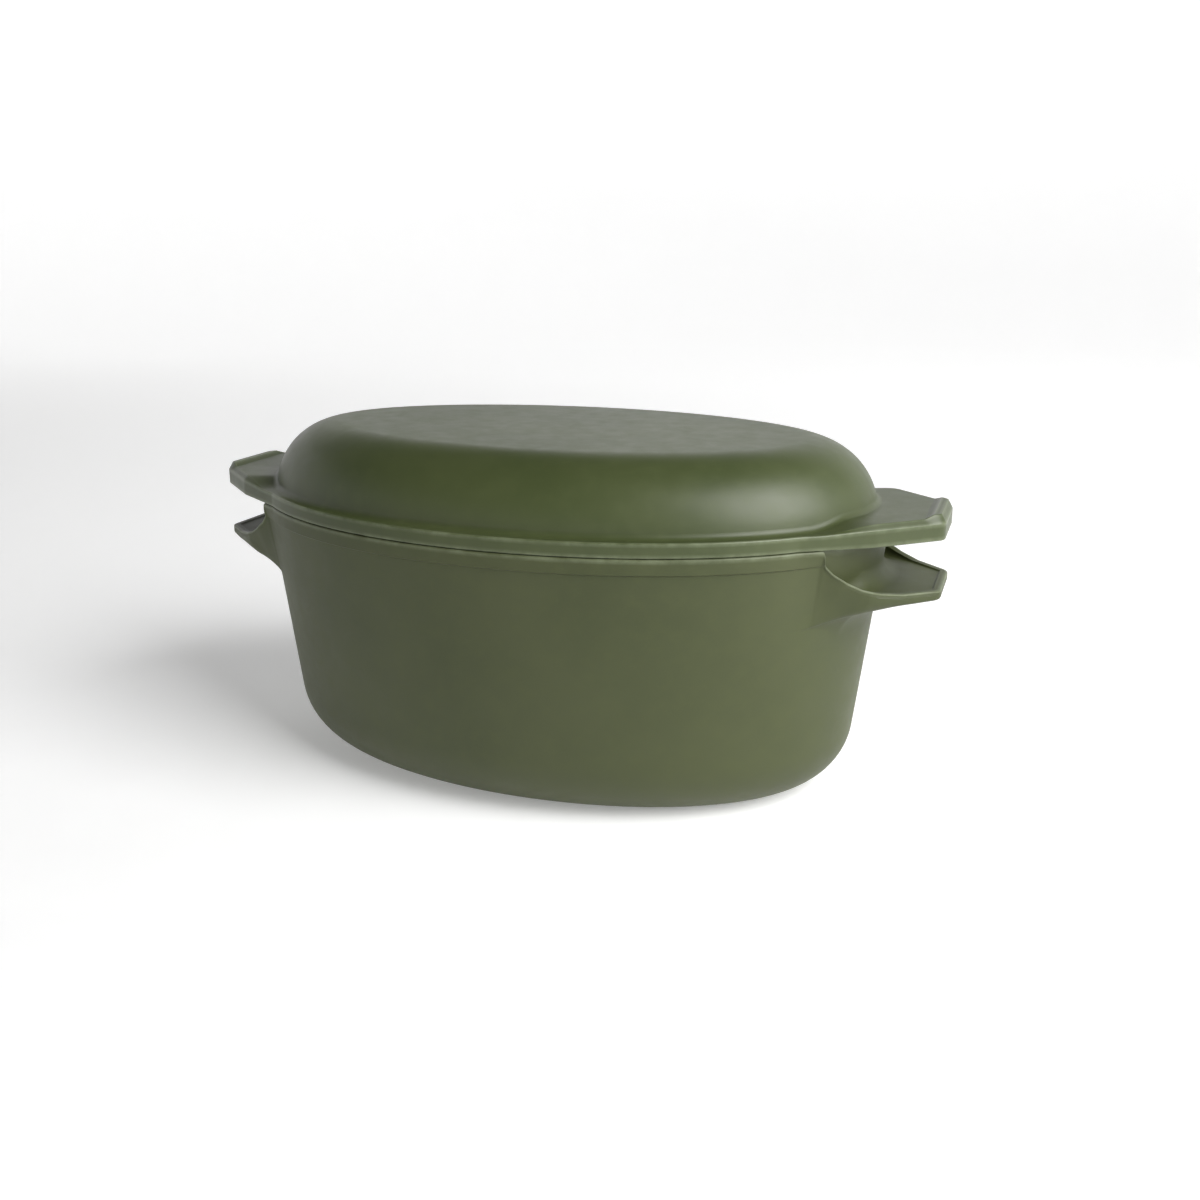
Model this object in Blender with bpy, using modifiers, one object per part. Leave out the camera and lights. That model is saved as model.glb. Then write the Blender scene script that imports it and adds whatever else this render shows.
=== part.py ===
"""Covered oval casserole: a deep cast pot with two scooped grips, and a domed cast lid with two flat lugs.

Metres, +Z up. The origin is the centre of the pot's foot on the table. X runs through the two grips.
"""
import math

import bmesh
import bpy

# Oval outline, shared by the pot's rim and the lid's flange
HALF_LENGTH = 0.160
HALF_WIDTH = 0.1046
SEGMENTS = 72

# Pot
RIM_HEIGHT = 0.1313
DRAFT = math.radians(6.53)
WALL = 0.0045
BASE = 0.0065
FOOT_RADIUS = 0.0343
INNER_FOOT_RADIUS = 0.0290
BAND_HEIGHT = 0.0070
BAND_STEP = 0.0006
RIM_CHAMFER = 0.0007

# Lid, heights above the pot's rim
SEAT_GAP = 0.0003
FLANGE_TOP = 0.0070
FLANGE_WIDTH = 0.0060
LID_HEIGHT = 0.0381
SHOULDER_RADIUS = 0.0345
LID_WALL = 0.0042
LIP_DEPTH = 0.0040
LIP_GAP = 0.0006
LIP_WALL = 0.0032

# Lugs and grips, in plan: where they leave the oval, their corner and their tip
LEAVE_X = 0.1290
CORNER = (0.1595, 0.0420)
TIP = (0.1865, 0.0180)
CORNER_RADIUS = 0.0120
TIP_RADIUS = 0.0050
LUG_TOP = 0.0102
LUG_CHAMFER = 0.0025
RIDGE_TOP = 0.0118
RIDGE_FOOT_X = 0.1775
RIDGE_CREST_X = 0.1810

# Grip, heights below the pot's rim
GRIP_FLOOR = 0.0232
GRIP_DEEPEST = 0.0370
WING_WALL = 0.0045
SCOOP_ROUND = 0.0070
WING_EDGE = ((0.1410, 0.0), (0.1415, 0.0065), (0.1450, 0.0105), (0.1500, 0.0145),
             (0.1560, 0.0180), (0.1630, 0.0205), (0.1720, 0.0222), (0.2000, 0.0230))
UNDERSIDE = ((0.2000, 0.0266), (0.1720, 0.0274), (0.1620, 0.0286), (0.1540, 0.0308),
             (0.1470, 0.0335), (0.1390, 0.0358), (0.1000, GRIP_DEEPEST))

PART_NAME = "covered_casserole"


def new_collection(name):
    """Make a collection and link it to the scene."""
    collection = bpy.data.collections.new(name)
    bpy.context.scene.collection.children.link(collection)
    return collection


def add_object(name, bm, collection):
    """Turn a bmesh into an object whose faces point outward."""
    bmesh.ops.recalc_face_normals(bm, faces=bm.faces)
    mesh = bpy.data.meshes.new(name)
    bm.to_mesh(mesh)
    bm.free()
    obj = bpy.data.objects.new(name, mesh)
    collection.objects.link(obj)
    return obj


def add_cutter(name, bm, collection):
    """Make an object that only shapes others."""
    obj = add_object(name, bm, collection)
    obj.hide_render = True
    obj.display_type = "WIRE"
    return obj


def oval_loft(profile):
    """Closed solid through ovals given as (offset from the rim outline, height), capped flat at both ends."""
    bm = bmesh.new()
    rings = []
    for offset, z in profile:
        ring = []
        for i in range(SEGMENTS):
            angle = 2 * math.pi * i / SEGMENTS
            x = (HALF_LENGTH + offset) * math.cos(angle)
            y = (HALF_WIDTH + offset) * math.sin(angle)
            ring.append(bm.verts.new((x, y, z)))
        rings.append(ring)
    for low, high in zip(rings, rings[1:]):
        for i in range(SEGMENTS):
            j = (i + 1) % SEGMENTS
            bm.faces.new((low[i], low[j], high[j], high[i]))
    bm.faces.new(rings[0])
    bm.faces.new(rings[-1])
    return bm


def arc(centre, radius, start, end, steps):
    """Points along an arc in the profile plane, angles in radians."""
    points = []
    for i in range(steps + 1):
        angle = start + (end - start) * i / steps
        points.append((centre[0] + radius * math.cos(angle), centre[1] + radius * math.sin(angle)))
    return points


def rounded(points, steps=3):
    """Round the corners of an outline given as (x, y, radius)."""
    result = []
    count = len(points)
    for i, (x, y, radius) in enumerate(points):
        if radius == 0:
            result.append((x, y))
            continue
        before = points[i - 1]
        after = points[(i + 1) % count]
        a = math.atan2(before[1] - y, before[0] - x)
        b = math.atan2(after[1] - y, after[0] - x)
        half = abs((b - a + math.pi) % (2 * math.pi) - math.pi) / 2
        reach = radius / math.tan(half)
        start = (x + reach * math.cos(a), y + reach * math.sin(a))
        end = (x + reach * math.cos(b), y + reach * math.sin(b))
        for k in range(steps + 1):
            t = k / steps
            w0 = (1 - t) ** 2
            w1 = 2 * t * (1 - t) * math.sin(half) ** 0.5
            w2 = t ** 2
            total = w0 + w1 + w2
            px = (w0 * start[0] + w1 * x + w2 * end[0]) / total
            py = (w0 * start[1] + w1 * y + w2 * end[1]) / total
            result.append((px, py))
    return result


def lug_outline(root_x, leave, inset, tip_inset=None):
    """Plan of a lug: symmetric about X, its root buried in the body."""
    tip_inset = inset if tip_inset is None else tip_inset
    side = CORNER[1] - inset
    tip_x = TIP[0] - tip_inset
    tip_y = TIP[1] - inset * 0.75
    corner_x = CORNER[0] - inset * 0.45
    half = [(root_x, leave[1] - inset, 0), (leave[0], leave[1] - inset, 0),
            (corner_x, side, CORNER_RADIUS), (tip_x, tip_y, TIP_RADIUS)]
    lower = [(x, -y, radius) for x, y, radius in half]
    upper = [(x, y, radius) for x, y, radius in reversed(half)]
    return rounded(lower + upper)


def extrude(corners, direction):
    """Solid swept from a flat outline along a straight direction."""
    bm = bmesh.new()
    face = bm.faces.new([bm.verts.new(corner) for corner in corners])
    swept = bmesh.ops.extrude_face_region(bm, geom=[face])
    moved = [item for item in swept["geom"] if isinstance(item, bmesh.types.BMVert)]
    bmesh.ops.translate(bm, verts=moved, vec=direction)
    return bm


def upright(points, low, high):
    """Solid with a plan outline, standing between two heights."""
    return extrude([(x, y, low) for x, y in points], (0, 0, high - low))


def across(points, half_width):
    """Solid with a profile in the XZ plane, carried across Y."""
    return extrude([(x, -half_width, z) for x, z in points], (0, 2 * half_width, 0))


def outline_loft(levels):
    """Solid through plan outlines of different sizes, each given as (points, height)."""
    bm = bmesh.new()
    rings = [[bm.verts.new((x, y, z)) for x, y in points] for points, z in levels]
    for low, high in zip(rings, rings[1:]):
        for i, vert in enumerate(low):
            j = (i + 1) % len(low)
            bm.faces.new((vert, low[j], high[j], high[i]))
    bm.faces.new(rings[0])
    bm.faces.new(rings[-1])
    return bm


def boolean(obj, operation, other):
    """Add an exact Boolean modifier."""
    modifier = obj.modifiers.new(f"{operation.lower()}_{other.name}", "BOOLEAN")
    modifier.operation = operation
    modifier.solver = "EXACT"
    modifier.object = other


def mirror_in_x(obj):
    """Repeat the object at the other end of the dish."""
    modifier = obj.modifiers.new("both_ends", "MIRROR")
    modifier.use_axis = (True, False, False)
    modifier.use_clip = False
    modifier.use_mirror_merge = False


def coating(name, colour, roughness):
    """Principled material of one casting."""
    material = bpy.data.materials.new(name)
    material.use_nodes = True
    shader = material.node_tree.nodes["Principled BSDF"]
    shader.inputs["Base Color"].default_value = (*colour, 1.0)
    shader.inputs["Roughness"].default_value = roughness
    shader.inputs["Metallic"].default_value = 0.0
    return material


def leave_y(x):
    """Half width of the rim oval at x, kept just inside it."""
    return HALF_WIDTH * math.sqrt(1 - (x / HALF_LENGTH) ** 2) - 0.0003


def make_pot(parts, cutters):
    """Deep pot: drafted oval wall, rim band, and a scooped grip at each end."""
    slope = math.tan(DRAFT)
    foot_z = FOOT_RADIUS
    foot_x = -(RIM_HEIGHT - foot_z + foot_z * math.sin(DRAFT)) * slope - foot_z * math.cos(DRAFT)
    band_z = RIM_HEIGHT - BAND_HEIGHT
    outer = arc((foot_x, foot_z), FOOT_RADIUS, -math.pi / 2, -DRAFT, 7)
    outer += [(-(RIM_HEIGHT - band_z) * slope - BAND_STEP * 0.5, band_z - BAND_STEP),
              (-0.0002, band_z), (0.0, RIM_HEIGHT - RIM_CHAMFER), (-RIM_CHAMFER, RIM_HEIGHT)]
    pot = add_object("pot_body", oval_loft(outer), parts)

    inner_z = BASE + INNER_FOOT_RADIUS
    inner_wall = WALL / math.cos(DRAFT)
    inner_x = (-(RIM_HEIGHT - inner_z + INNER_FOOT_RADIUS * math.sin(DRAFT)) * slope
               - inner_wall - INNER_FOOT_RADIUS * math.cos(DRAFT))
    inner = arc((inner_x, inner_z), INNER_FOOT_RADIUS, -math.pi / 2, -DRAFT, 6)
    inner += [(-inner_wall, RIM_HEIGHT), (-inner_wall, RIM_HEIGHT + 0.01)]
    cavity = add_cutter("pot_cavity_cutter", oval_loft(inner), cutters)

    grip_leave = (LEAVE_X, leave_y(LEAVE_X))
    outline = lug_outline(0.100, grip_leave, 0.0)
    grip = add_cutter("grip_block", upright(outline, RIM_HEIGHT - GRIP_DEEPEST, RIM_HEIGHT), cutters)
    above = [(x, RIM_HEIGHT - drop) for x, drop in WING_EDGE]
    above += [(0.2000, RIM_HEIGHT + 0.01), (WING_EDGE[0][0], RIM_HEIGHT + 0.01)]
    over = add_cutter("grip_over_cutter", across(above, 0.09), cutters)
    below = [(x, RIM_HEIGHT - drop) for x, drop in UNDERSIDE]
    below += [(0.0900, RIM_HEIGHT - 0.08), (0.2000, RIM_HEIGHT - 0.08)]
    under = add_cutter("grip_under_cutter", across(below, 0.09), cutters)

    floor = RIM_HEIGHT - GRIP_FLOOR
    low_outline = lug_outline(0.110, grip_leave, WING_WALL + 0.6 * SCOOP_ROUND, -0.02)
    mid_outline = lug_outline(0.110, grip_leave, WING_WALL + 0.18 * SCOOP_ROUND, -0.02)
    top_outline = lug_outline(0.110, grip_leave, WING_WALL, -0.02)
    levels = [(low_outline, floor), (mid_outline, floor + 0.35 * SCOOP_ROUND),
              (top_outline, floor + SCOOP_ROUND), (top_outline, RIM_HEIGHT + 0.01)]
    scoop = add_cutter("scoop_cutter", outline_loft(levels), cutters)
    boolean(grip, "DIFFERENCE", over)
    boolean(grip, "DIFFERENCE", under)
    boolean(grip, "DIFFERENCE", scoop)
    mirror_in_x(grip)

    boolean(pot, "UNION", grip)
    boolean(pot, "DIFFERENCE", cavity)
    pot.data.materials.append(coating("pot_coating", (0.095, 0.115, 0.060), 0.55))
    return pot


def make_lid(parts, cutters):
    """Domed lid with a flat top, a flange, a locating lip and a flat lug at each end."""
    rim = RIM_HEIGHT
    wall = WALL / math.cos(DRAFT)
    lip_out = -(wall + LIP_GAP)
    centre = (-FLANGE_WIDTH - SHOULDER_RADIUS * 0.9930, rim + LID_HEIGHT - SHOULDER_RADIUS)
    flare_z = rim + FLANGE_TOP + 0.0034
    start = math.asin((flare_z - centre[1]) / SHOULDER_RADIUS)
    outer = [(lip_out - 0.0004, rim - LIP_DEPTH), (lip_out, rim - LIP_DEPTH + 0.0008),
             (lip_out, rim + SEAT_GAP), (-0.0004, rim + SEAT_GAP), (0.0, rim + SEAT_GAP + 0.0004),
             (0.0, rim + FLANGE_TOP - 0.0007), (-0.0007, rim + FLANGE_TOP),
             (-FLANGE_WIDTH + 0.0028, rim + FLANGE_TOP), (-FLANGE_WIDTH + 0.0008, rim + FLANGE_TOP + 0.0008)]
    outer += arc(centre, SHOULDER_RADIUS, start, math.pi / 2, 8)
    lid = add_object("lid_body", oval_loft(outer), parts)

    inner_radius = SHOULDER_RADIUS - LID_WALL
    lip_in = lip_out - LIP_WALL
    inner = [(lip_in, rim - 0.02), (lip_in, rim)]
    inner += arc(centre, inner_radius, math.radians(8), math.pi / 2, 6)
    hollow = add_cutter("lid_hollow_cutter", oval_loft(inner), cutters)

    plate_leave = (LEAVE_X, leave_y(LEAVE_X))
    plate = lug_outline(0.120, plate_leave, 0.0)
    crest = rim + RIDGE_TOP
    rise = (RIDGE_TOP - FLANGE_TOP) / (LUG_TOP - FLANGE_TOP)
    slab_leave = (0.1460, leave_y(0.1460) - 0.0015)
    slab = lug_outline(0.128, slab_leave, 0.0)
    slab_top = lug_outline(0.128, slab_leave, LUG_CHAMFER * rise)
    lug = add_cutter("lug_plate", upright(plate, rim + SEAT_GAP, rim + FLANGE_TOP), cutters)
    slab_levels = [(slab, rim + 0.003), (slab, rim + FLANGE_TOP), (slab_top, crest)]
    raised = add_cutter("lug_slab", outline_loft(slab_levels), cutters)
    pocket_points = [(0.10, rim + LUG_TOP), (RIDGE_FOOT_X, rim + LUG_TOP), (RIDGE_CREST_X, crest),
                     (RIDGE_CREST_X, crest + 0.01), (0.10, crest + 0.01)]
    pocket = add_cutter("lug_pocket_cutter", across(pocket_points, 0.09), cutters)
    boolean(raised, "DIFFERENCE", pocket)
    boolean(lug, "UNION", raised)
    mirror_in_x(lug)

    boolean(lid, "UNION", lug)
    boolean(lid, "DIFFERENCE", hollow)
    lid.data.materials.append(coating("lid_coating", (0.100, 0.120, 0.066), 0.42))
    return lid


def main():
    """Clear the scene and build the two castings."""
    for obj in list(bpy.data.objects):
        bpy.data.objects.remove(obj, do_unlink=True)
    parts = new_collection(PART_NAME)
    cutters = new_collection("shaping_solids")
    make_pot(parts, cutters)
    make_lid(parts, cutters)


main()
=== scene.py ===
import math

import bmesh
import bpy
import numpy as np
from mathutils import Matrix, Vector


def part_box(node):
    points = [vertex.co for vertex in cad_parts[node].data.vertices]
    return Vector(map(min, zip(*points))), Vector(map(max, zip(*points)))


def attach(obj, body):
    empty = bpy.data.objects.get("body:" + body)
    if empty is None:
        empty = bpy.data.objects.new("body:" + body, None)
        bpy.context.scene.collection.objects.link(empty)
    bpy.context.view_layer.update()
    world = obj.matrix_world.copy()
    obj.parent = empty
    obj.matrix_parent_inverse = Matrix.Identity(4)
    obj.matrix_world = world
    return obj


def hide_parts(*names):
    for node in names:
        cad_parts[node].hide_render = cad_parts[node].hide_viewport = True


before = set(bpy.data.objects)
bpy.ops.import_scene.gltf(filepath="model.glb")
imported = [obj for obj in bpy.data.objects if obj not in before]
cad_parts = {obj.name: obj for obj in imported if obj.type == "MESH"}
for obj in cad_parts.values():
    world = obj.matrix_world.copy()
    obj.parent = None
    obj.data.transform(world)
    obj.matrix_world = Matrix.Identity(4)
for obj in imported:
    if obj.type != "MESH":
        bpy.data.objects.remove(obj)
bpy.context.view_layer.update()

MM = 0.001

# Sizes that come from the frame, in millimetres
POT_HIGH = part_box("pot_body")[1] / MM
LID_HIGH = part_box("lid_body")[1] / MM
RIM = POT_HIGH.z
LID_TOP = LID_HIGH.z
HALF_WIDTH = POT_HIGH.y
GRIP_REACH = 26.5
HALF_LENGTH = POT_HIGH.x - GRIP_REACH

# Pot
DRAFT = math.tan(math.radians(6.53))
WALL_STEP = 0.3
INNER_WALL = 4.53
BASE = 6.5
FOOT_RADIUS = 34.3
INNER_FOOT_RADIUS = 29.0
BAND = 7.0
BAND_STEP = 0.6

# Lid, heights above the rim
SEAT = 0.3
FLANGE_TOP = 7.0
FLANGE_WIDTH = 5.75
DOME_LEAN = math.tan(math.radians(11.4))
SHOULDER_RADIUS = 34.5
SHOULDER_CENTRE = -40.28
FLARE_HEIGHT = 3.0
LID_WALL = 4.2
LIP_OUT = -5.13
LIP_IN = -8.33
LIP_DEPTH = 4.0

# Plan of a lug and of a grip: straight sides joined by soft corners
LEAVE = (129.0, 61.5)
CORNER = (159.5, 42.0)
TIP = (186.5, 18.0)
CORNER_RADIUS = 12.0
TIP_RADIUS = 5.0
LUG_TOP = 10.2
LUG_CHAMFER = 2.5
RIDGE_TOP = 11.8
RIDGE_FOOT_X = 177.5
RIDGE_CREST_X = 181.0
LUG_RISE = (139.0, 163.0)

# Grip: distances below the rim, against X
WING = 3.4
GRIP_FLOOR = 23.2
WING_EDGE = ((140.6, 0.0), (141.8, 6.5), (145.0, 10.5), (150.0, 14.5), (156.0, 18.0), (163.0, 20.5),
             (172.0, 22.2), (200.0, 23.0))
UNDER_FILLET = (30.0, 15.0)
LOW_EDGE_ROUND = (16.0, 1.3)
SCOOP_FILLET = 8.0
EDGE_ROUND = 0.9
UNDERSIDE = ((129.0, 37.0), (139.0, 35.8), (147.0, 33.5), (154.0, 30.8), (162.0, 28.6), (172.0, 27.4),
             (200.0, 26.6))

COLUMNS = 760
SHOULDER_ROWS = 26
FLAT_CENTRE = -60.0


def smooth_step(value):
    """Ease from 0 to 1 as value goes from 0 to 1."""
    value = np.clip(value, 0.0, 1.0)
    return value * value * (3.0 - 2.0 * value)


def mix(a, b, factor):
    """Blend a into b."""
    return a + (b - a) * factor


def soft_curve(points, x, softness=0.5):
    """Piecewise line through the points, with its corners eased over the softness."""
    xs, ys = zip(*points)
    shifts = np.linspace(-softness, softness, 9)
    return sum(np.interp(x + shift, xs, ys) for shift in shifts) / len(shifts)


def side_depth(x, y, start, end):
    """How far a point lies inside the straight side from start to end, with the dish on the right of it."""
    length = math.hypot(end[0] - start[0], end[1] - start[1])
    along = ((end[0] - start[0]) / length, (end[1] - start[1]) / length)
    return (x - start[0]) * along[1] - (y - start[1]) * along[0]


def round_min(a, b, reach):
    """Smaller of two depths, with a rounded corner where they meet."""
    bend = np.hypot(np.maximum(reach - a, 0.0), np.maximum(reach - b, 0.0))
    return np.maximum(reach, np.minimum(a, b)) - bend


def lug_depth(x, y):
    """Depth of a point inside the plan of a lug, at either end of the dish."""
    x = np.abs(x)
    y = np.abs(y)
    root = side_depth(x, y, LEAVE, CORNER)
    flank = side_depth(x, y, CORNER, TIP)
    tip = TIP[0] - x
    corner_turn = math.atan2(LEAVE[1] - CORNER[1], CORNER[0] - LEAVE[0])
    flank_turn = math.atan2(CORNER[1] - TIP[1], TIP[0] - CORNER[0])
    tip_turn = math.pi / 2 - flank_turn
    depth = round_min(root, flank, CORNER_RADIUS * (1 - math.cos(flank_turn - corner_turn)))
    return round_min(depth, tip, TIP_RADIUS * (1 - math.cos(tip_turn)))


def reach_at(angles, depth, lowest=0.0):
    """Offset at which each section reaches the given depth inside the lug's plan, not under the lowest."""
    offsets = np.linspace(lowest, 40.0, 600)
    x = (HALF_LENGTH + offsets[:, None]) * np.cos(angles)
    y = (HALF_WIDTH + offsets[:, None]) * np.sin(angles)
    outward = -lug_depth(x, y)
    reached = np.array([np.interp(-depth, outward[:, i], offsets) for i in range(len(angles))])
    return np.where(HALF_LENGTH * np.abs(np.cos(angles)) > LEAVE[0] - 2.0, reached, lowest)


def spread_columns(edge):
    """Section angles spaced evenly along an edge given as heights and offsets over the angle."""
    angles = np.linspace(0.0, 2 * math.pi, 4001)
    offset, height = edge(angles)
    x = (HALF_LENGTH + offset) * np.cos(angles)
    y = (HALF_WIDTH + offset) * np.sin(angles)
    steps = np.sqrt(np.diff(x) ** 2 + np.diff(y) ** 2 + (4.0 * np.diff(height)) ** 2)
    travelled = np.concatenate(([0.0], np.cumsum(steps)))
    return np.interp(np.linspace(0.0, travelled[-1], COLUMNS, endpoint=False), travelled, angles)


class Profile:
    """Rounded section profile, one for every column at once."""

    def __init__(self, columns):
        self.columns = columns
        self.corners = []

    def corner(self, offset, height, radius=0.0, arc=1, run=1, edge=0.0):
        """Add a corner: its radius, its points on the arc and on the run up to it, and its share of painted
        edge highlight.
        """
        spread = [np.broadcast_to(np.asarray(value, dtype=float), (self.columns,))
                  for value in (offset, height, radius, edge)]
        self.corners.append((*spread, arc, run))

    def rows(self):
        """Rows of (offset, height, edge) arrays along the rounded profile."""
        place = np.array([(c[0], c[1]) for c in self.corners])
        radius = np.array([c[2] for c in self.corners])
        step = np.diff(place, axis=0)
        length = np.maximum(np.hypot(step[:, 0], step[:, 1]), 1e-6)
        way = step / length[:, None]
        turn = np.clip((way[1:] * way[:-1]).sum(axis=1), -0.99, 1.0)
        trim = np.zeros_like(radius)
        trim[1:-1] = radius[1:-1] * np.sqrt((1 - turn) / (1 + turn))
        room = np.minimum(1.0, 0.98 * length / np.maximum(trim[1:] + trim[:-1], 1e-9))
        trim[1:-1] *= np.minimum(room[1:], room[:-1])
        rows = []
        for k, (_, _, _, edge, arc, run) in enumerate(self.corners):
            first = place[k] if k == 0 else place[k] - way[k - 1] * trim[k]
            last = place[k] if k == len(place) - 1 else place[k] + way[k] * trim[k]
            if k > 0:
                start = rows[-1][:2]
                for i in range(1, run + 1):
                    point = mix(np.array(start), first, i / (run + 1))
                    rows.append((*point, np.zeros(self.columns)))
            inner = 0 < k < len(place) - 1
            weight = np.sqrt((1 + turn[k - 1]) / 2) if inner else 1.0
            for i in range(arc):
                s = i / (arc - 1) if arc > 1 else 0.5
                a, b, c = (1 - s) ** 2, 2 * s * (1 - s) * weight, s * s
                point = (a * first + b * place[k] + c * last) / (a + b + c)
                rows.append((*point, edge))
        return rows


def loft(name, angles, rows, inside):
    """Closed body through the rows, with both flat middles filled by shrinking rings."""
    bm = bmesh.new()
    # The edge attribute marks where the painted edge highlight and the lower roughness go
    edge_layer = bm.verts.layers.float.new("edge")
    inside_layer = bm.verts.layers.float.new("inside")

    def ring(x, y, z, edge, hidden):
        verts = []
        for i in range(len(angles)):
            vert = bm.verts.new((x[i] * MM, y[i] * MM, z[i] * MM))
            vert[edge_layer] = edge[i]
            vert[inside_layer] = hidden
            verts.append(vert)
        return verts

    rings = []
    for k, (offset, height, edge) in enumerate(rows):
        x = (HALF_LENGTH + offset) * np.cos(angles)
        y = (HALF_WIDTH + offset) * np.sin(angles)
        rings.append(ring(x, y, height, edge, inside(k)))
    for at_start in (True, False):
        offset, height, _ = rows[0 if at_start else -1]
        hidden = inside(0 if at_start else len(rows) - 1)
        for size in (0.8, 0.6, 0.4, 0.2):
            x = size * (HALF_LENGTH + offset) * np.cos(angles)
            y = size * (HALF_WIDTH + offset) * np.sin(angles)
            shrunk = ring(x, y, height, np.zeros(len(angles)), hidden)
            if at_start:
                rings.insert(0, shrunk)
            else:
                rings.append(shrunk)
        centre = bm.verts.new((0.0, 0.0, height[0] * MM))
        centre[inside_layer] = hidden
        last = rings[0] if at_start else rings[-1]
        for i in range(len(angles)):
            bm.faces.new((last[i], last[(i + 1) % len(angles)], centre))
    for low, high in zip(rings, rings[1:]):
        for i in range(len(angles)):
            j = (i + 1) % len(angles)
            bm.faces.new((low[i], low[j], high[j], high[i]))
    bmesh.ops.recalc_face_normals(bm, faces=bm.faces)
    mesh = bpy.data.meshes.new(name)
    bm.to_mesh(mesh)
    bm.free()
    mesh.shade_smooth()
    piece = bpy.data.objects.new(name, mesh)
    bpy.context.scene.collection.objects.link(piece)
    weighted = piece.modifiers.new("even_shading", "WEIGHTED_NORMAL")
    weighted.weight = 50
    return piece


# --- Pot ---

def pot_wall(height):
    """Offset of the drafted outer wall at a height."""
    return -(RIM - height) * DRAFT - WALL_STEP


def wing_edge(angles):
    """Offset and height of the outer top edge of the rim band and of the wings that carry on from it."""
    out = reach_at(angles, 0.0)
    drop = soft_curve(WING_EDGE, np.abs((HALF_LENGTH + out) * np.cos(angles)), 0.4)
    drop = np.where(out > 0.0, drop, 0.0)
    return out, RIM - drop


def pot_rows(angles):
    """Section profiles of the pot, from under the foot, over grip and rim, down to the floor inside."""
    out, edge_z = wing_edge(angles)
    drop = RIM - edge_z
    fallen = smooth_step(drop / 3.0)
    outer_x = np.abs((HALF_LENGTH + out) * np.cos(angles))
    under_z = RIM - soft_curve(UNDERSIDE, outer_x, 3.0)
    root_x = np.abs((HALF_LENGTH - 4.0) * np.cos(angles))
    root_z = RIM - soft_curve(UNDERSIDE, root_x, 3.0)
    proud = smooth_step(out / 14.0)
    wing_in = np.maximum(reach_at(angles, WING, -8.0), pot_wall(edge_z) + 0.8)
    space = reach_at(angles, WING, -8.0) - pot_wall(edge_z)
    floor_z = mix(edge_z, RIM - GRIP_FLOOR, smooth_step((space - 0.5) / 7.0))
    floor_z = np.minimum(floor_z, edge_z)
    band_z = np.minimum(RIM - BAND, edge_z - 1.5)
    merged = smooth_step(out / 6.0)

    profile = Profile(len(angles))
    profile.corner(FLAT_CENTRE, 0.0)
    profile.corner(pot_wall(0.0), 0.0, FOOT_RADIUS, arc=18, run=3)
    profile.corner(pot_wall(root_z), root_z, mix(*UNDER_FILLET, proud), arc=11, run=14)
    low_out = mix(pot_wall(under_z), out, proud)
    profile.corner(low_out, under_z, mix(*LOW_EDGE_ROUND, smooth_step(out / 22.0)), arc=8, run=6)
    for height, plain in ((band_z - BAND_STEP, pot_wall(band_z - BAND_STEP)), (band_z, -0.2 + 0.0 * out)):
        along = (height - under_z) / (edge_z - under_z)
        offset = mix(plain, mix(low_out, out, along), merged)
        profile.corner(offset, height, 0.25 + 6.0 * merged, arc=5, run=2)
    profile.corner(out, edge_z, EDGE_ROUND, arc=6, run=3, edge=1.0)
    profile.corner(mix(out - 1.2, wing_in, fallen), edge_z, EDGE_ROUND, arc=5, run=1, edge=0.25 * fallen)
    profile.corner(mix(out - 1.5, wing_in - 0.5, fallen), floor_z, SCOOP_FILLET, arc=9, run=2)
    profile.corner(mix(out - 1.8, pot_wall(floor_z), fallen), floor_z, SCOOP_FILLET, arc=9, run=3)
    profile.corner(mix(-2.1, 0.0, fallen), RIM, mix(0.0, 0.8, fallen), arc=5, run=4, edge=fallen)
    rim_row = len(profile.corners)
    profile.corner(-INNER_WALL, RIM, 0.8, arc=5, run=2, edge=1.0)
    inner_x = -INNER_WALL - (RIM - BASE) * DRAFT
    profile.corner(inner_x, BASE, INNER_FOOT_RADIUS, arc=16, run=12)
    profile.corner(FLAT_CENTRE, BASE, run=3)
    first_inside = sum(c[4] + c[5] for c in profile.corners[:rim_row + 1])
    return profile.rows(), first_inside


def make_pot():
    """The pot, one casting with its rim band and two scooped grips."""
    angles = spread_columns(wing_edge)
    rows, first_inside = pot_rows(angles)
    pot = loft("pot_casting", angles, rows, lambda k: 1.0 if k > first_inside - 3 else 0.0)
    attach(pot, "pot")
    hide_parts("pot_body")
    pot.data.materials.append(coating("pot_coating_look", POT_TONES, 0.52, 0.030))
    return pot


# --- Lid ---

def flange_edge(angles):
    """Offset and height of the outer top edge of the flange and of the lugs."""
    out = reach_at(angles, 0.0)
    return out, RIM + FLANGE_TOP + 0.0 * out


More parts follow.
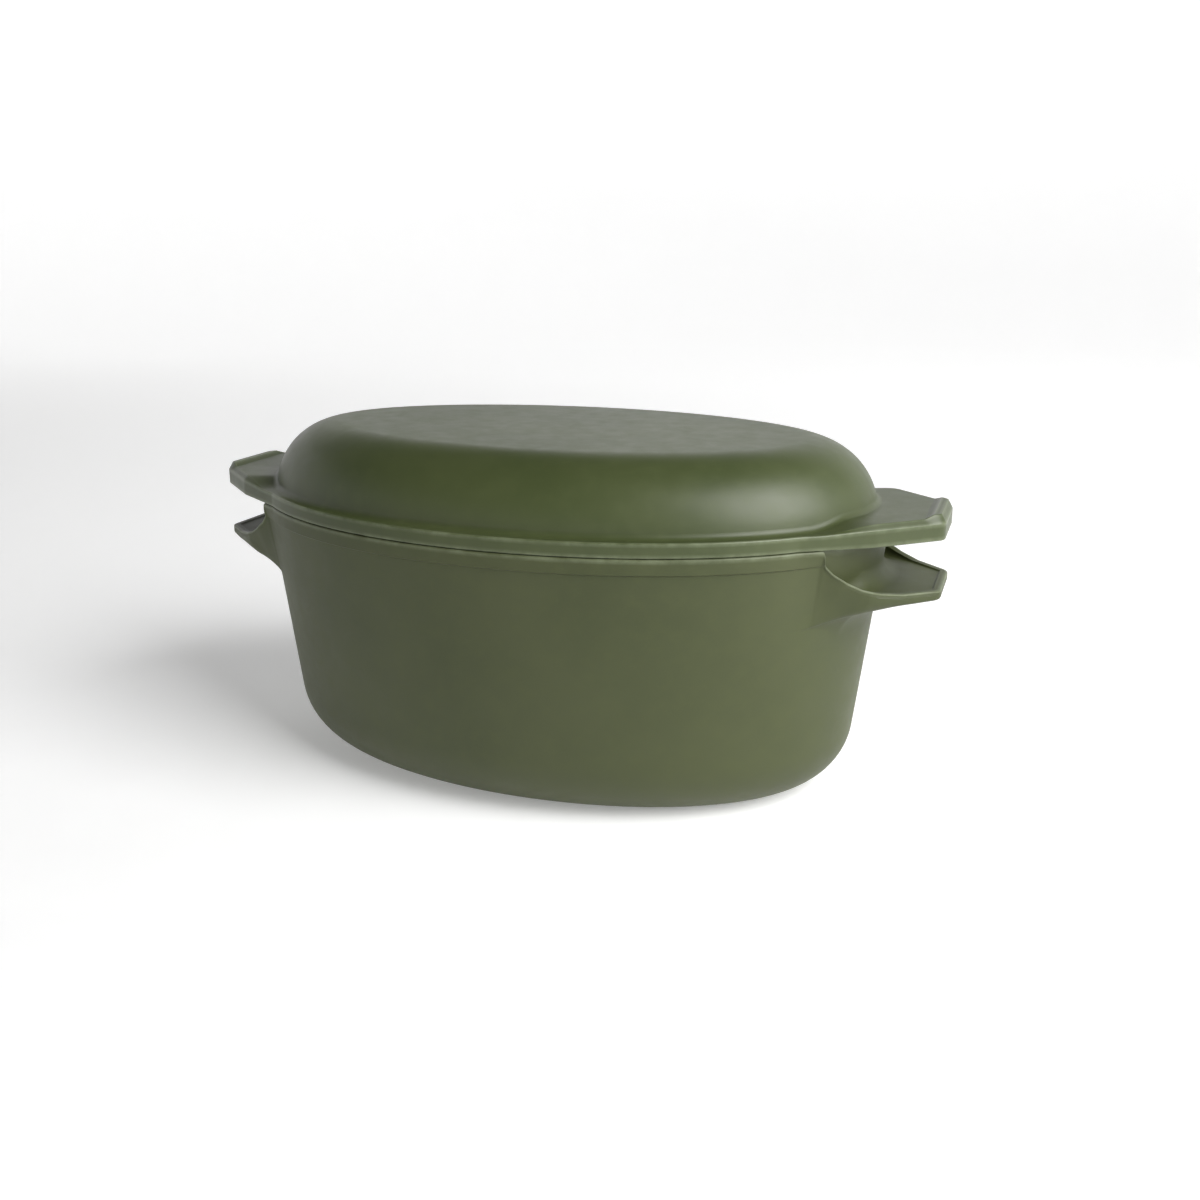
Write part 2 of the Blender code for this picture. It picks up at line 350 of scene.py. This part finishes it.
def lid_rows(angles):
    """Section profiles of the lid, from its ceiling, over the lip, flange and dome, to the flat top."""
    out, _ = flange_edge(angles)
    outer_x = np.abs((HALF_LENGTH + out) * np.cos(angles))
    raised = smooth_step((outer_x - LUG_RISE[0]) / (LUG_RISE[1] - LUG_RISE[0])) * (out > 0.0)
    side_top = RIM + mix(FLANGE_TOP, FLANGE_TOP + 0.9, raised)
    ceiling = LID_TOP - LID_WALL
    inner_foot = -FLANGE_WIDTH - LID_WALL * math.hypot(1.0, DOME_LEAN)

    def top_height(offset):
        x = np.abs((HALF_LENGTH + offset) * np.cos(angles))
        ramp = np.clip((x - RIDGE_FOOT_X) / (RIDGE_CREST_X - RIDGE_FOOT_X), 0.0, 1.0)
        lug_top = LUG_TOP + (RIDGE_TOP - LUG_TOP) * ramp
        return RIM + mix(FLANGE_TOP, lug_top, raised)

    profile = Profile(len(angles))
    profile.corner(FLAT_CENTRE, ceiling)
    inner_top = inner_foot - (ceiling - RIM - FLANGE_TOP) * DOME_LEAN
    profile.corner(inner_top, ceiling, SHOULDER_RADIUS - LID_WALL, arc=16, run=3)
    profile.corner(LIP_IN, RIM + 0.5, 3.0, arc=4, run=3)
    profile.corner(LIP_IN, RIM - LIP_DEPTH, 1.0, arc=4, run=1)
    profile.corner(LIP_OUT, RIM - LIP_DEPTH, 1.2, arc=4, run=1, edge=0.6)
    profile.corner(LIP_OUT, RIM + SEAT, 0.4, arc=3, run=1)
    first_outside = sum(c[4] + c[5] for c in profile.corners)
    profile.corner(out, RIM + SEAT, 0.6, arc=5, run=5, edge=0.9)
    profile.corner(out - 0.15, side_top, mix(0.8, 0.5, raised), arc=5, run=3, edge=1.0)
    crest = np.where(out > 0.0, reach_at(angles, LUG_CHAMFER, -4.0), -1.2)
    crest = mix(out - 1.2, np.minimum(crest, out - 1.2), raised)
    profile.corner(crest, top_height(crest), 0.7, arc=4, run=2, edge=0.6 * raised)
    ridge = np.minimum(crest - 0.4, RIDGE_CREST_X / np.abs(np.cos(angles)) - HALF_LENGTH)
    profile.corner(ridge, top_height(ridge), 0.5, arc=3, run=1, edge=smooth_step((ridge - 18.0) / 2.0))
    foot = np.minimum(ridge - 0.4, RIDGE_FOOT_X / np.abs(np.cos(angles)) - HALF_LENGTH)
    profile.corner(foot, top_height(foot), 0.8, arc=3, run=1)
    floor = RIM + mix(FLANGE_TOP, LUG_TOP, raised)
    centre_z = LID_TOP - SHOULDER_RADIUS
    lowest = np.arcsin((floor + FLARE_HEIGHT - centre_z) / SHOULDER_RADIUS)
    dome_foot = SHOULDER_CENTRE + SHOULDER_RADIUS * np.cos(lowest) + FLARE_HEIGHT * np.tan(lowest)
    profile.corner(dome_foot, floor, 3.2, arc=7, run=6)
    for i in range(SHOULDER_ROWS + 1):
        turned = mix(lowest, math.pi / 2, i / SHOULDER_ROWS)
        offset = SHOULDER_CENTRE + SHOULDER_RADIUS * np.cos(turned)
        profile.corner(offset, centre_z + SHOULDER_RADIUS * np.sin(turned), run=1 if i == 0 else 0)
    profile.corner(FLAT_CENTRE, LID_TOP, run=3)
    return profile.rows(), first_outside


def make_lid():
    """The lid, one casting with its dome, flange, lip and two lugs."""
    angles = spread_columns(flange_edge)
    rows, first_outside = lid_rows(angles)
    lid = loft("lid_casting", angles, rows, lambda k: 1.0 if k < first_outside else 0.0)
    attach(lid, "lid")
    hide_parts("lid_body")
    lid.data.materials.append(coating("lid_coating_look", LID_TONES, 0.42, 0.018))
    return lid


# --- Materials ---

POT_TONES = ((0.043, 0.053, 0.016), (0.055, 0.065, 0.022))
LID_TONES = ((0.044, 0.058, 0.019), (0.056, 0.070, 0.025))
INSIDE_TONE = (0.045, 0.047, 0.040)
# Pale tone painted along the rounded edges as a highlight, standing in for the thin bright lines light draws
# there
EDGE_HIGHLIGHT_TONE = (0.21, 0.24, 0.15)


def add_node(tree, kind, **values):
    """Add a node and set its inputs and properties by name."""
    node = tree.nodes.new(kind)
    for name, value in values.items():
        if hasattr(node, name):
            setattr(node, name, value)
        else:
            node.inputs[name.replace("_", " ").title()].default_value = value
    return node


def noise(tree, position, scale, detail, roughness=0.5):
    """Noise over the object's own coordinates, in features per metre."""
    node = add_node(tree, "ShaderNodeTexNoise", Scale=scale, Detail=detail, Roughness=roughness)
    tree.links.new(position, node.inputs["Vector"])
    return node.outputs["Fac"]


def blend_colour(tree, factor, first, second):
    """Mix two colours, each a fixed colour or another node's output."""
    node = add_node(tree, "ShaderNodeMix", data_type="RGBA")
    if isinstance(factor, float):
        node.inputs[0].default_value = factor
    else:
        tree.links.new(factor, node.inputs[0])
    for socket, value in ((node.inputs[6], first), (node.inputs[7], second)):
        if isinstance(value, tuple):
            socket.default_value = (*value, 1.0)
        else:
            tree.links.new(value, socket)
    return node.outputs[2]


def remap(tree, value, low, high, to_low, to_high):
    """Stretch a value from one range to another."""
    node = add_node(tree, "ShaderNodeMapRange")
    for socket, number in zip(node.inputs[1:5], (low, high, to_low, to_high)):
        socket.default_value = number
    tree.links.new(value, node.inputs[0])
    return node.outputs[0]


def maths(tree, operation, first, second):
    """Combine two values, each a number or another node's output."""
    node = add_node(tree, "ShaderNodeMath", operation=operation)
    for socket, value in zip(node.inputs, (first, second)):
        if isinstance(value, float):
            socket.default_value = value
        else:
            tree.links.new(value, socket)
    return node.outputs[0]


def attribute(tree, name):
    """Value of a vertex attribute."""
    node = add_node(tree, "ShaderNodeAttribute", attribute_name=name)
    return node.outputs["Fac"]


def coating(name, tones, roughness, grain):
    """Baked coating on cast aluminium: clouded colour, fine grain, painted highlight on rounded edges,
    darker inside.
    """
    material = bpy.data.materials.new(name)
    material.use_nodes = True
    tree = material.node_tree
    shader = tree.nodes["Principled BSDF"]
    shader.inputs["Specular IOR Level"].default_value = 0.40
    position = add_node(tree, "ShaderNodeTexCoord").outputs["Object"]
    clouds = noise(tree, position, 14.0, 3.0)
    mottle = noise(tree, position, 120.0, 4.0, 0.6)
    powder = noise(tree, position, 2600.0, 2.0, 0.6)
    colour = blend_colour(tree, remap(tree, clouds, 0.35, 0.65, 0.0, 1.0), tones[0], tones[1])
    pale = tuple(channel * 1.22 for channel in tones[1])
    colour = blend_colour(tree, remap(tree, mottle, 0.45, 0.75, 0.0, 0.35), colour, pale)
    colour = blend_colour(tree, remap(tree, powder, 0.55, 0.80, 0.0, 0.35), colour, pale)
    # Painted highlight: the pale edge tone, thinned at random, is laid on the rounded edges where light
    # would glint
    painted_edge_highlight = maths(tree, "MULTIPLY", attribute(tree, "edge"), remap(tree, mottle, 0.3, 0.7, 0.12, 0.50))
    colour = blend_colour(tree, painted_edge_highlight, colour, EDGE_HIGHLIGHT_TONE)
    inside = attribute(tree, "inside")
    colour = blend_colour(tree, inside, colour, INSIDE_TONE)
    tree.links.new(colour, shader.inputs["Base Color"])
    rough = maths(tree, "ADD", remap(tree, mottle, 0.3, 0.7, roughness - 0.03, roughness + 0.04),
                  maths(tree, "MULTIPLY", attribute(tree, "edge"), -0.08))
    tree.links.new(rough, shader.inputs["Roughness"])
    swell = noise(tree, position, 55.0, 2.0)
    height = maths(tree, "ADD", maths(tree, "MULTIPLY", powder, grain),
                   maths(tree, "MULTIPLY", swell, grain * 2.0))
    bump = add_node(tree, "ShaderNodeBump", Strength=0.5, Distance=0.001)
    tree.links.new(height, bump.inputs["Height"])
    tree.links.new(bump.outputs[0], shader.inputs["Normal"])
    return material


# --- Studio ---

FLOOR_RADIUS = 2.2
SWEEP_RADIUS = 0.8
BACKDROP_TOP = 1.5
FRONT_GLOW = 0.10
BACK_GLOW = 0.45


def studio_paper():
    """Pale paper with a faint tooth, lit more behind the dish than in front of it."""
    material = bpy.data.materials.new("studio_paper")
    material.use_nodes = True
    tree = material.node_tree
    shader = tree.nodes["Principled BSDF"]
    position = add_node(tree, "ShaderNodeTexCoord").outputs["Object"]
    tooth = noise(tree, position, 30.0, 3.0)
    spread = remap(tree, tooth, 0.3, 0.7, 0.0, 1.0)
    colour = blend_colour(tree, spread, (0.86, 0.86, 0.86), (0.88, 0.88, 0.88))
    tree.links.new(colour, shader.inputs["Base Color"])
    shader.inputs["Roughness"].default_value = 0.9
    shader.inputs["Specular IOR Level"].default_value = 0.1
    shader.inputs["Emission Color"].default_value = (1.0, 1.0, 1.0, 1.0)
    place = add_node(tree, "ShaderNodeSeparateXYZ")
    tree.links.new(position, place.inputs[0])
    glow = remap(tree, place.outputs["Y"], -1.2, 1.5, FRONT_GLOW, BACK_GLOW)
    tree.links.new(glow, shader.inputs["Emission Strength"])
    return material


def make_stage():
    """Round floor that sweeps up into a low wall, so that every view has the same plain ground."""
    bm = bmesh.new()
    profile = [(0.0, 0.0), (0.7, 0.0), (1.4, 0.0), (FLOOR_RADIUS, 0.0)]
    for i in range(1, 13):
        angle = math.pi / 2 * i / 12
        profile.append((FLOOR_RADIUS + SWEEP_RADIUS * math.sin(angle), SWEEP_RADIUS * (1 - math.cos(angle))))
    profile.append((FLOOR_RADIUS + SWEEP_RADIUS, BACKDROP_TOP))
    verts = [bm.verts.new((x, 0.0, z)) for x, z in profile]
    edges = [bm.edges.new(pair) for pair in zip(verts, verts[1:])]
    bmesh.ops.spin(bm, geom=verts + edges, cent=(0, 0, 0), axis=(0, 0, 1), angle=2 * math.pi, steps=96,
                   use_merge=True)
    bmesh.ops.remove_doubles(bm, verts=bm.verts, dist=1e-5)
    bmesh.ops.recalc_face_normals(bm, faces=bm.faces)
    bmesh.ops.reverse_faces(bm, faces=bm.faces)
    mesh = bpy.data.meshes.new("studio_floor")
    bm.to_mesh(mesh)
    bm.free()
    mesh.shade_smooth()
    floor = bpy.data.objects.new("studio_floor", mesh)
    floor.data.materials.append(studio_paper())
    bpy.context.scene.collection.objects.link(floor)


def soft_light(name, place, aim, size, power):
    """Large rectangular soft light."""
    light = bpy.data.lights.new(name, "AREA")
    light.shape = "RECTANGLE"
    light.size, light.size_y = size
    light.energy = power
    lamp = bpy.data.objects.new(name, light)
    lamp.location = place
    lamp.rotation_euler = (Vector(aim) - Vector(place)).to_track_quat("-Z", "Y").to_euler()
    bpy.context.scene.collection.objects.link(lamp)


def make_lights():
    """Key light on the right, a wide weak one high behind, and a dim room above."""
    middle = (0.0, 0.0, 0.08)
    soft_light("key_light", (1.35, -0.45, 1.10), middle, (1.2, 1.3), 48.0)
    soft_light("back_light", (0.2, 1.9, 1.3), middle, (2.2, 0.8), 4.0)
    world = bpy.data.worlds.new("studio_room")
    bpy.context.scene.world = world
    world.use_nodes = True
    world.node_tree.nodes["Background"].inputs["Color"].default_value = (1.0, 0.98, 0.94, 1.0)
    world.node_tree.nodes["Background"].inputs["Strength"].default_value = 0.05


# --- Camera ---

VIEW_AZIMUTH = math.radians(20.0)
VIEW_ELEVATION = 0.2958
VIEW_DISTANCE = 0.6344
FOCAL_LENGTH = 37.083
AIM_RIGHT = 0.01776
AIM_HEIGHT = 0.07978


def make_camera():
    """Camera at a low three-quarter angle, on the frame's own axes."""
    back = Vector((math.sin(VIEW_AZIMUTH) * math.cos(VIEW_ELEVATION),
                   -math.cos(VIEW_AZIMUTH) * math.cos(VIEW_ELEVATION), math.sin(VIEW_ELEVATION)))
    right = Vector((math.cos(VIEW_AZIMUTH), math.sin(VIEW_AZIMUTH), 0.0))
    data = bpy.data.cameras.new("camera")
    data.sensor_width = 36.0
    data.lens = FOCAL_LENGTH
    camera = bpy.data.objects.new("camera", data)
    camera.location = right * AIM_RIGHT + Vector((0.0, 0.0, AIM_HEIGHT)) + back * VIEW_DISTANCE
    camera.rotation_euler = (-back).to_track_quat("-Z", "Y").to_euler()
    bpy.context.scene.collection.objects.link(camera)
    bpy.context.scene.camera = camera


bpy.context.scene.view_settings.view_transform = "Standard"
make_pot()
make_lid()
make_stage()
make_lights()
make_camera()
